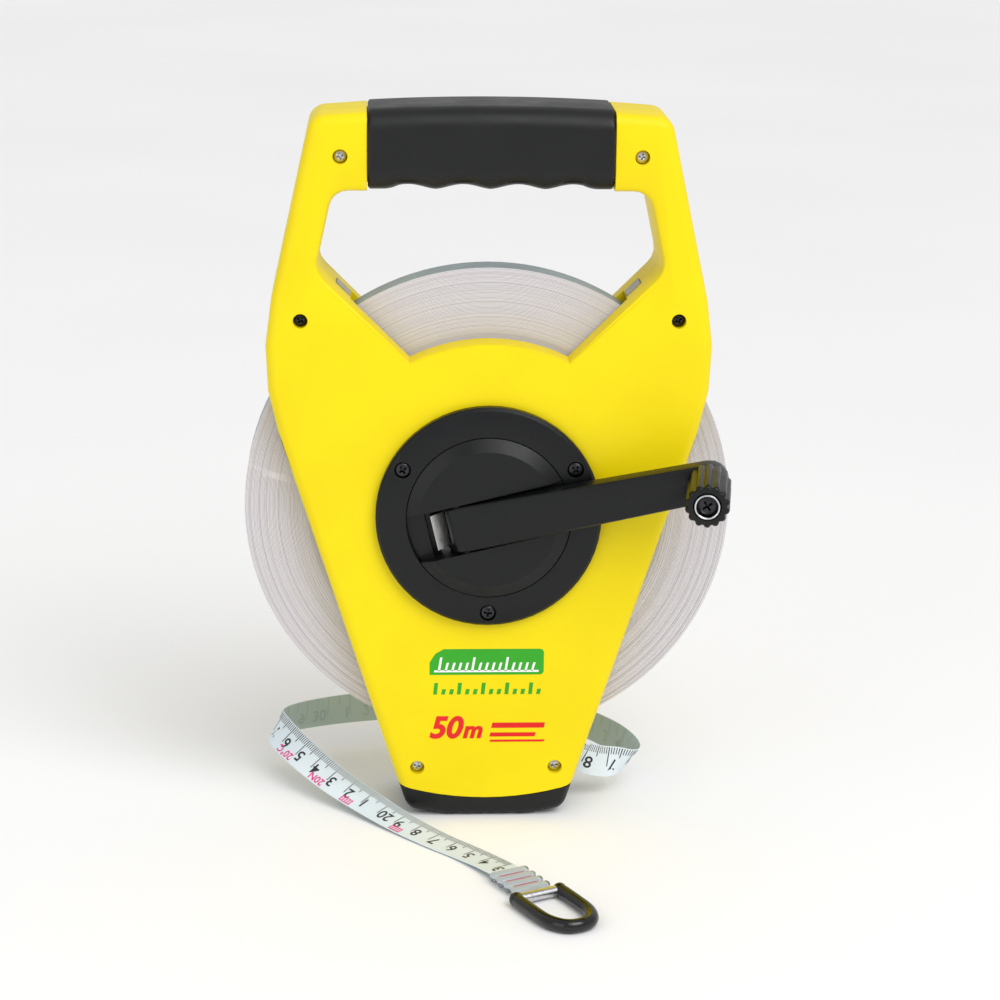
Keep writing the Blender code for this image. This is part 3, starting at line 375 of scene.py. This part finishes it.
class Ribbon:
    """The tape's middle line, with the directions across it and out of its printed face."""

    def __init__(self):
        rows = smooth_route(TAPE_ROUTE, 1.0)
        self.rows, self.length = [], 0.0
        for i, row in enumerate(rows):
            travel = (rows[min(i + 1, len(rows) - 1)].xyz - rows[max(i - 1, 0)].xyz).normalized()
            outer = travel.cross(Vector((0, 0, 1))).normalized()
            upright = outer.cross(travel)
            lean = math.radians(row[3])
            wide = upright * math.cos(lean) + outer * math.sin(lean)
            centre = row.xyz * MM
            if self.rows:
                self.length += (centre - self.rows[-1][1]).length
            self.rows.append((self.length, centre, wide, travel.cross(wide).normalized()))

    def at(self, back, across, height):
        """back: metres from the guard's end; across: towards the outer edge; height: above the middle."""
        s = self.length - back
        low, high = 0, len(self.rows) - 1
        while high - low > 1:
            mid = (low + high) // 2
            if self.rows[mid][0] > s:
                high = mid
            else:
                low = mid
        a, b = self.rows[low], self.rows[high]
        t = (s - a[0]) / (b[0] - a[0])
        centre, wide, face = (a[k].lerp(b[k], t) for k in (1, 2, 3))
        return centre - wide.normalized() * across + face.normalized() * height


def ribbon_mesh(ribbon):
    upper = [(TAPE_W * (0.49 - 0.98 * k / 8), TAPE_T / 2) for k in range(9)]
    section = [(TAPE_W / 2, 0)] + upper + [(-TAPE_W / 2, 0)] + [(x, -h) for x, h in reversed(upper)]
    loops = [[centre + wide * x + face * h for x, h in section] for _, centre, wide, face in ribbon.rows]
    obj = as_object("printed_tape", loft(loops), TAPE_FACE, TAPE_BACK, smooth=50)
    line = [row[1] for row in ribbon.rows]
    facing = [row[3] for row in ribbon.rows]
    count = len(section)
    for polygon in obj.data.polygons:
        row = min(polygon.index // count, len(line) - 1)
        polygon.material_index = 0 if polygon.normal.dot(facing[row]) > -0.3 else 1
    return obj


def text_polygons(body, size, shear=0.0, bold=0.0):
    """Flat outline of generic characters as (vertices, faces)."""
    curve = bpy.data.curves.new("text", "FONT")
    curve.body, curve.size, curve.shear, curve.offset, curve.resolution_u = body, size, shear, bold, 4
    holder = bpy.data.objects.new("text", curve)
    bpy.context.scene.collection.objects.link(holder)
    graph = bpy.context.evaluated_depsgraph_get()
    mesh = bpy.data.meshes.new_from_object(holder.evaluated_get(graph))
    points = [v.co.copy() for v in mesh.vertices]
    faces = [tuple(p.vertices) for p in mesh.polygons]
    bpy.data.objects.remove(holder)
    bpy.data.meshes.remove(mesh)
    return points, faces


class Print:
    """Collects flat marks, (x, y) in metres, and maps them onto a surface by a function."""

    def __init__(self, place):
        self.bm, self.place = bmesh.new(), place

    def polygon(self, points):
        self.bm.faces.new([self.bm.verts.new(self.place(x, y)) for x, y in points])

    def bar(self, x0, y0, x1, y1, slices=1, slant=0.0):
        for k in range(slices):
            a, b = (x0 + (x1 - x0) * share for share in (k / slices, (k + 1) / slices))
            self.polygon([(a, y0), (b, y0), (b + slant, y1), (a + slant, y1)])

    def text(self, body, size, x, y, shear=0.0, bold=0.0, align=0.0):
        points, faces = text_polygons(body, size, shear, bold)
        width = max(p.x for p in points)
        made = [self.bm.verts.new(self.place(x + p.x - align * width, y + p.y)) for p in points]
        for face in faces:
            if len(set(face)) > 2:
                self.bm.faces.new([made[i] for i in face])

    def done(self, name, mat):
        bm = self.bm
        mesh = bpy.data.meshes.new(name)
        bm.to_mesh(mesh)
        bm.free()
        mesh.materials.append(mat)
        obj = bpy.data.objects.new(name, mesh)
        bpy.context.scene.collection.objects.link(obj)
        return obj


INK = 0.06 * MM
EDGE = TAPE_W / 2 - 0.35 * MM
FIRST_CM = 13                # at the guard


def tape_marks(ribbon):
    """Millimetre scale, centimetre figures and red data marks on the tape's printed face."""
    zero = 4.2 * MM          # the first figure's line, back from the guard's end
    for side, name, mat in ((1, "tape_scale", INK_BLACK), (-1, "tape_scale_through", INK_GHOST)):
        marks = Print(lambda x, y, side=side: ribbon.at(x, y, side * (TAPE_T / 2 + INK)))
        for step in range(int((ribbon.length - zero - 2 * MM) / MM)):
            x = zero + step * MM
            if side < 0 and step % 5:
                continue
            tall = 8.2 * MM if step % 10 == 0 else 4.4 * MM if step % 5 == 0 else 2.9 * MM
            half = 0.2 * MM if step % 5 == 0 else 0.16 * MM
            marks.bar(x - half, -EDGE, x + half, -EDGE + tall)
            if step % 10 == 0:
                value = FIRST_CM + step // 10
                figure = str(value % 10) if value % 10 else str(value)
                marks.text(figure, 6.8 * MM, x - 0.7 * MM, -0.9 * MM, bold=0.0001, align=1.0)
        piece(marks.done(name, mat), "frame", "tape_coating")
    marks = Print(lambda x, y: ribbon.at(x, y, TAPE_T / 2 + 1.3 * INK))
    for value, body in ((25.95, "20°C"), (23.75, "20N")):
        x = zero + (value - FIRST_CM) * 10 * MM
        marks.text(body, 4.5 * MM, x, 2.8 * MM, bold=0.00008, align=1.0)
    for value in (21.9, 18.9, 31.9, 34.9):
        x = zero + (value - FIRST_CM) * 10 * MM
        for y in (3.2, 5.7):
            marks.bar(x - 6 * MM, y * MM, x, (y + 0.35) * MM, 4)
        for k in range(5):
            marks.bar(x - (6 - k * 1.3) * MM, 3.5 * MM, x - (5.4 - k * 1.3) * MM, 5.7 * MM, slant=0.3 * MM)
    piece(marks.done("tape_data_marks", INK_PINK), "frame", "tape_coating")


# ---------------------------------------------------------------- guard, pin and end ring

def ring_frame():
    """Origin on the ring's pin, local X along the pin, local Y away from the tape, local Z up."""
    joint = JOINTS["ring_fold"]
    across = Vector(joint["axis"])
    return frame_of(across, Vector((0, 0, 1)).cross(across), Vector(joint["pos_m"]))


GUARD_NEAR, GUARD_L, GUARD_W, GUARD_T = -2.3 * MM, 21.0 * MM, 13.9 * MM, 2.4 * MM


def guard():
    """Clear sleeve over the tape's end, with four ribs across it."""
    loops = []
    steps = 150
    for i in range(steps + 1):
        y = GUARD_NEAR - GUARD_L * i / steps
        rib = max(0.0, max(1 - ((y - GUARD_NEAR + (3.3 + 5.2 * n) * MM) / (1.75 * MM)) ** 2 for n in range(4)))
        rib = math.sqrt(rib)
        ends = min(1.0, i / 3, (steps - i) / 3)
        half_h = GUARD_T / 2 * (0.8 + 0.2 * ends) + rib * 0.65 * MM
        half_w = GUARD_W / 2 - 0.3 * MM * (1 - ends) + rib * 1.05 * MM
        loops.append([(x, y, z) for x, z in rounded_section(half_w, half_h, 0.85 * MM, 5)])
    obj = as_object("clear_sleeve", loft(loops), CLEAR, matrix=ring_frame(), smooth=45)
    return piece(obj, "frame", "clear_guard", "tape_guard")


def tape_end():
    """The tape's last stretch inside the sleeve, and the lines printed across it."""
    loops = []
    for i in range(13):
        y = -GUARD_END + (GUARD_END - 3.4 * MM) * i / 12
        z = -0.2 * MM * min(1.0, i / 4)
        loops.append([(x, y, z + h) for x, h in rounded_section(TAPE_W / 2 - 0.2 * MM, TAPE_T / 2, 0.15 * MM, 3)])
    strip = as_object("tape_end_strip", loft(loops), TAPE_FACE, matrix=ring_frame(), smooth=50)
    piece(strip, "frame", "tape_coating")
    place = ring_frame()
    lines = Print(lambda x, y: place @ Vector((y, x, TAPE_T / 2 + INK)))
    for x in (-19.6, -14.4, -9.2):
        lines.bar((x - 0.45) * MM, -5.2 * MM, (x + 0.45) * MM, 5.2 * MM)
    piece(lines.done("tape_end_lines", INK_PINK), "frame", "tape_coating")
    return strip


RING_BAR, EYE_SPREAD, RING_LENGTH = 2.3 * MM, 9.2 * MM, 30.3 * MM


def bar_line():
    straight = [(EYE_SPREAD, 0), (EYE_SPREAD + 0.2 * MM, 4 * MM), (EYE_SPREAD + 0.2 * MM, 11 * MM),
                (EYE_SPREAD + 0.1 * MM, 17 * MM)]
    bend = []
    for angle in (18, 36, 54, 72):
        a = math.radians(angle)
        bend.append(((EYE_SPREAD + 0.1 * MM) * math.cos(a) ** 0.8, 17 * MM + (RING_LENGTH - 17 * MM) * math.sin(a)))
    right = straight + bend
    left = [(-x, y) for x, y in reversed(right)]
    corners = [(x / MM, y / MM, 0, 0) for x, y in right + [(0, RING_LENGTH)] + left]
    return [row.xyz * MM for row in smooth_route(corners, 0.8)]


def end_ring():
    line = bar_line()
    loops = []
    for i, point in enumerate(line):
        travel = (line[min(i + 1, len(line) - 1)] - line[max(i - 1, 0)]).normalized()
        outer = travel.cross(Vector((0, 0, 1)))
        loop = []
        for k in range(28):
            a = 2 * math.pi * k / 28
            seam = 0.07 * MM if k in (0, 14) else 0.0     # parting line, inside and outside
            loop.append(point + outer * math.cos(a) * (RING_BAR + 0.15 * MM + seam)
                        + Vector((0, 0, 1)) * math.sin(a) * (RING_BAR + 0.3 * MM))
        loops.append(loop)
    ring = as_object("hook_ring", loft(loops), GLOSS_BLACK, matrix=ring_frame(), smooth=60)
    across = Matrix.Rotation(math.radians(90), 4, "Y")
    eye = [(2.76 * math.cos(math.radians(a)) * MM, 2.75 * math.sin(math.radians(a)) * MM) for a in range(-90, 91, 10)]
    parts = [ring]
    for side in (-1, 1):
        place = ring_frame() @ Matrix.Translation((side * EYE_SPREAD, 0, 0)) @ across
        parts.append(as_object("eye", turned(eye, 32), GLOSS_BLACK, matrix=place, smooth=60))
    ring = merged(parts, "hook_ring")
    piece(ring, "hook", "black_abs", "end_ring")
    half, radius = EYE_SPREAD - 1.2 * MM, 2.0 * MM
    roller = [(0, -half), (radius - 0.3 * MM, -half), (radius, -half + 0.3 * MM), (radius, half - 0.3 * MM),
              (radius - 0.3 * MM, half), (0, half)]
    roller = as_object("pin_roller", turned(roller, 32), STEEL, matrix=ring_frame() @ across, smooth=40)
    piece(roller, "hook", "steel", "ring_pin")
    return ring, roller


def merged(parts, name):
    bm = bmesh.new()
    for part in parts:
        bm.from_mesh(part.data)
    first = parts[0].data
    mesh = bpy.data.meshes.new(name)
    bm.to_mesh(mesh)
    bm.free()
    for mat in first.materials:
        mesh.materials.append(mat)
    mesh.shade_smooth()
    mesh.set_sharp_from_angle(angle=math.radians(50))
    for part in parts:
        bpy.data.objects.remove(part)
    obj = bpy.data.objects.new(name, mesh)
    bpy.context.scene.collection.objects.link(obj)
    return obj


# ---------------------------------------------------------------- wound tape

def wound_tape():
    """One long strip wound on the hub, each turn a little out of line with the last."""
    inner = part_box("drum_hub")[1].x
    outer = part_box("tape_winding")[1].x
    turns, per_turn, thick = 113, 120, 0.41 * MM
    pitch = (outer - inner - thick) / (turns - 1)
    shifts, drift = [], 0.0
    for _ in range(turns + 2):
        drift = 0.72 * drift + random.uniform(-0.13, 0.13)
        shifts.append(max(-0.3, min(0.3, drift + random.choice((0, 0, 0, 0.14, -0.12)))) * MM)
    loops = []
    for step in range((turns - 1) * per_turn + 1):
        turn = step / per_turn
        whole = int(turn)
        part = turn - whole
        mix = part * part * (3 - 2 * part)
        shift = shifts[whole] * (1 - mix) + shifts[whole + 1] * mix
        radius = inner + thick / 2 + pitch * turn
        angle = -2 * math.pi * turn - math.pi / 2
        ray = Vector((math.cos(angle), 0, math.sin(angle)))
        half = TAPE_W / 2 - 0.3 * MM
        loops.append([AXIS + ray * (radius + dr * thick / 2) + Vector((0, shift + dy * half, 0))
                      for dr, dy in ((-1, -1), (1, -1), (1, 1), (-1, 1))])
    obj = as_object("wound_tape", loft(loops), ROLL_EDGE, ROLL_RIM_PAINTED_SHADE)
    # Faces along the axis take the ring tones; the turns' inner and outer faces take the darkened tape colour, which is
    # painted shade.
    for polygon in obj.data.polygons:
        polygon.material_index = 0 if abs(polygon.normal.y) > 0.7 else 1
    return piece(obj, "drum", "tape_coating", "tape_winding")


# ---------------------------------------------------------------- label

def label():
    """Printed mark on the case: a rule in white on green, the length in red, and plain bars."""
    def face(height):
        return lambda x, z: Vector((x, FRONT_Y - height, z))

    left, right, low, high = -22.4 * MM, 22.2 * MM, 59.3 * MM, 69.9 * MM
    plate = Print(face(0.04 * MM))
    corner, cut = 1.6 * MM, 5.5 * MM
    outline = [(left, low), (right - corner, low)]
    outline += [(right - corner + corner * math.sin(math.radians(a)), low + corner - corner * math.cos(math.radians(a)))
                for a in (15, 30, 45, 60, 75, 90)]
    outline += [(right - corner + corner * math.cos(math.radians(a)), high - corner + corner * math.sin(math.radians(a)))
                for a in (0, 15, 30, 45, 60, 75, 90)]
    outline += [(left + cut, high), (left + cut * 0.4, high - cut * 0.35), (left, high - cut)]
    plate.polygon(outline)
    for k in range(14):
        x = left + (1.4 + 3.1 * k) * MM
        plate.bar(x, 51.2 * MM, x + 1.5 * MM, (53.4 + 2.6 * (k % 3 == 0)) * MM, slant=0.5 * MM)
    piece(plate.done("label_plate", INK_GREEN), "frame", "yellow_abs")
    ticks = Print(face(0.07 * MM))
    for k in range(15):
        x = left + (3.2 + 2.6 * k) * MM
        tall = 5.6 if k % 5 == 0 else 3.4
        ticks.bar(x, low + 1.6 * MM, x + 0.9 * MM, low + (1.6 + tall) * MM, slant=0.9 * MM)
    ticks.bar(left + 1.8 * MM, low + 1.1 * MM, right - 2 * MM, low + 1.9 * MM)
    piece(ticks.done("label_rule", INK_WHITE), "frame", "yellow_abs")
    red = Print(face(0.05 * MM))
    red.text("50", 12.4 * MM, -22.6 * MM, 33.3 * MM, shear=0.25, bold=0.00045)
    red.text("m", 9.6 * MM, -9.4 * MM, 33.3 * MM, shear=0.25, bold=0.0004)
    for row, (z, tall, end) in enumerate(((37.2, 2.2, 22.6), (33.6, 1.7, 19.0), (31.4, 0.9, 22.6))):
        start = 1.2 + 0.7 * (row == 0)
        red.bar(start * MM, z * MM, end * MM, (z + tall) * MM, slant=0.4 * MM)
    piece(red.done("label_length", INK_RED), "frame", "yellow_abs")


# ---------------------------------------------------------------- screws

def phillips(name, crown, radius, mat, node_name, body):
    """A domed head with a cross recess, its rim and a short shank, in place of a packed screw."""
    rise = radius * 0.34
    profile = [(0, 0)]
    for k in range(1, 9):
        a = math.radians(k * 10.5)
        profile.append((radius * math.sin(a) / math.sin(math.radians(84)), rise * (1 - math.cos(a))))
    base = profile[-1][1]
    profile += [(radius, base + 0.25 * MM), (radius * 0.97, base + 0.5 * MM), (radius * 0.5, base + 0.5 * MM),
                (radius * 0.5, 5 * MM), (0, 5 * MM)]
    place = Matrix.Translation(crown) @ Matrix.Rotation(math.radians(-90), 4, "X")
    obj = as_object(name, turned(profile, 40), mat, matrix=place, smooth=40)
    turn = random.uniform(0, 90)
    for quarter in (0, 90):
        wide, long, deep = radius * 0.15, radius * 0.62, radius * 0.62
        loops = []
        for share, depth in ((1.0, -0.5 * MM), (0.95, 0.0), (0.35, deep)):
            w, l = wide * (0.55 + 0.45 * share), long * share
            loops.append([(-l, -w, depth), (l, -w, depth), (l, w, depth), (-l, w, depth)])
        spin = Matrix.Rotation(math.radians(turn + quarter), 4, "Z")
        boolean(obj, loft(loops), place @ spin)
    obj.data.shade_smooth()
    obj.data.set_sharp_from_angle(angle=math.radians(35))
    return piece(obj, body, "blackened_steel" if mat == DARK_STEEL else "steel", node_name)


def screws():
    for number in range(1, 7):
        name = f"case_screw_{number}"
        low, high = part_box(name)
        crown = Vector(((low.x + high.x) / 2, low.y, (low.z + high.z) / 2))
        mat = DARK_STEEL if number in (3, 4) else STEEL
        phillips(f"case_cross_screw_{number}", crown, (high.x - low.x) / 2, mat, name, "frame")
    for number in range(1, 4):
        name = f"cover_screw_{number}"
        low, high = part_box(name)
        crown = Vector(((low.x + high.x) / 2, low.y, (low.z + high.z) / 2))
        phillips(f"cover_cross_screw_{number}", crown, (high.x - low.x) / 2, DARK_STEEL, name, "frame")


# ---------------------------------------------------------------- grip and knob

GRIP_HALF, GRIP_T, GRIP_SKIN, GRIP_LOW, GRIP_HIGH = 46 * MM, 20.2 * MM, 3.2 * MM, 125.2 * MM, 155.2 * MM
GRIP_CROWN, FINGER_PITCH, FINGER_DEPTH = 1.3 * MM, 20.6 * MM, 1.8 * MM


def grip_loop(x, inner):
    if inner:
        skin = GRIP_SKIN - 0.3 * MM
        half, low, high, radius = GRIP_T - skin, GRIP_LOW + skin, GRIP_HIGH - skin, 0.4 * MM
    else:
        wave = math.cos(2 * math.pi * x / FINGER_PITCH)
        fade = min(1, max(0, (GRIP_HALF * 0.88 - abs(x)) / (6 * MM)))
        lift = fade * FINGER_DEPTH * (0.5 - 0.5 * wave) ** 0.8
        roll = 0.9 * MM * max(0.0, (abs(x) - GRIP_HALF + 0.9 * MM) / (0.9 * MM)) ** 2
        half, low = GRIP_T - roll, GRIP_LOW + lift + roll
        high, radius = GRIP_HIGH + GRIP_CROWN * (1 - (x / GRIP_HALF) ** 2) - roll, 8 * MM
    middle = (low + high) / 2
    return [(x, y, AXIS.z + middle + z) for y, z in rounded_section(half, (high - low) / 2, radius, 14)]


def grip():
    count = 150
    places = [GRIP_HALF * (2 * i / count - 1) for i in range(count + 1)]
    loops = [grip_loop(x, False) for x in places] + [grip_loop(x, True) for x in (GRIP_HALF, -GRIP_HALF)]
    obj = as_object("grip_rubber", loft(loops, closed=True), RUBBER, smooth=50)
    piece(obj, "frame", "black_rubber", "grip_sleeve")


KNOB_R, KNOB_L, KNOB_FLUTES = 8.4 * MM, 28.8 * MM, 14


def knob():
    axis = Vector(JOINTS["knob_spin"]["axis"])
    side = Vector(JOINTS["arm_fold"]["axis"])
    base = Vector(JOINTS["knob_spin"]["pos_m"]) - axis * 14.6 * MM
    place = frame_of(side, axis.cross(side), base)
    full, top = KNOB_R / MM, KNOB_L / MM
    rows = [   # radius, height and flute depth, mm
        (2.75, 0.0, 0), (full * 0.90, 0.0, 0.5), (full * 0.97, 0.25, 0.8), (full, 0.9, 1.0),
        (full, top / 3, 1.0), (full, top / 1.5, 1.0), (full, top - 2.0, 1.0), (full * 0.985, top - 1.1, 0.9),
        (full * 0.94, top - 0.4, 0.75), (full * 0.86, top, 0.4), (5.4, top, 0), (5.1, top - 0.3, 0),
        (5.1, top - 4.0, 0), (2.75, top - 4.0, 0)]
    profile = [(r * MM, h * MM) for r, h, _ in rows]
    depth = [d * MM for _, _, d in rows]
    obj = as_object("fluted_knob", turned(profile, KNOB_FLUTES * 14, True, KNOB_FLUTES, depth), BLACK,
                    matrix=place, smooth=38)
    piece(obj, "knob", "black_abs", "crank_knob")
    ring = [(4.1, top - 3.6), (4.8, top - 3.6), (4.8, top + 0.1), (4.65, top + 0.35), (4.4, top + 0.4), (4.1, top + 0.2)]
    obj = as_object("knob_bezel", turned([(r * MM, h * MM) for r, h in ring], 64, True), STEEL, matrix=place, smooth=30)
    piece(obj, "knob", "steel", "knob_ring")
    head = KNOB_L - 2.6 * MM
    rows = [(0, -8.0), (2.5, -8.0), (2.5, top - 3.3), (3.7, top - 3.2), (3.7, top - 1.9), (3.4, top - 1.5),
            (2.6, top - 1.2), (1.4, top - 1.05), (0, top - 1.0)]
    obj = as_object("knob_screw", turned([(r * MM, h * MM) for r, h in rows], 40), DARK_STEEL, matrix=place, smooth=40)
    for quarter in (0, 90):
        loops = []
        for share, height in ((1.0, head + 2.5 * MM), (0.95, head + 1.6 * MM), (0.35, head - 0.6 * MM)):
            w, l = 0.42 * MM * (0.55 + 0.45 * share), 2.3 * MM * share
            loops.append([(-l, -w, height), (l, -w, height), (l, w, height), (-l, w, height)])
        boolean(obj, loft(loops), place @ Matrix.Rotation(math.radians(20 + quarter), 4, "Z"))
    obj.data.shade_smooth()
    obj.data.set_sharp_from_angle(angle=math.radians(35))
    piece(obj, "arm", "blackened_steel", "knob_spindle")


# ---------------------------------------------------------------- build

add_camera()
tape = Ribbon()
printed = piece(ribbon_mesh(tape), "frame", "tape_coating", "free_tape")
tape_marks(tape)
sleeve = guard()
strip = tape_end()
hook, roller = end_ring()
wound_tape()
label()
screws()
grip()
knob()

for name in ("front_shell", "rear_shell"):
    dress(name, YELLOW, 34)
for name in ("gear_cover", "crank_rotor", "drum_hub"):
    dress(name, BLACK, 20)
dress("crank_arm", BLACK, 40, bevel=0.0005)
dress("foot", RUBBER, 38)
for name in ("drum_axle", "planet_pin_1", "planet_pin_2", "planet_pin_3", "fold_pin"):
    dress(name, STEEL)
dress("detent_spring", LEAF_STEEL, 30)
for name in ("ring_gear", "sun_gear", "planet_gear_1", "planet_gear_2", "planet_gear_3", "bush_front", "bush_rear"):
    dress(name, NYLON, 30)
for name in ("guide_pad_left", "guide_pad_right"):
    dress(name, FELT)

studio()
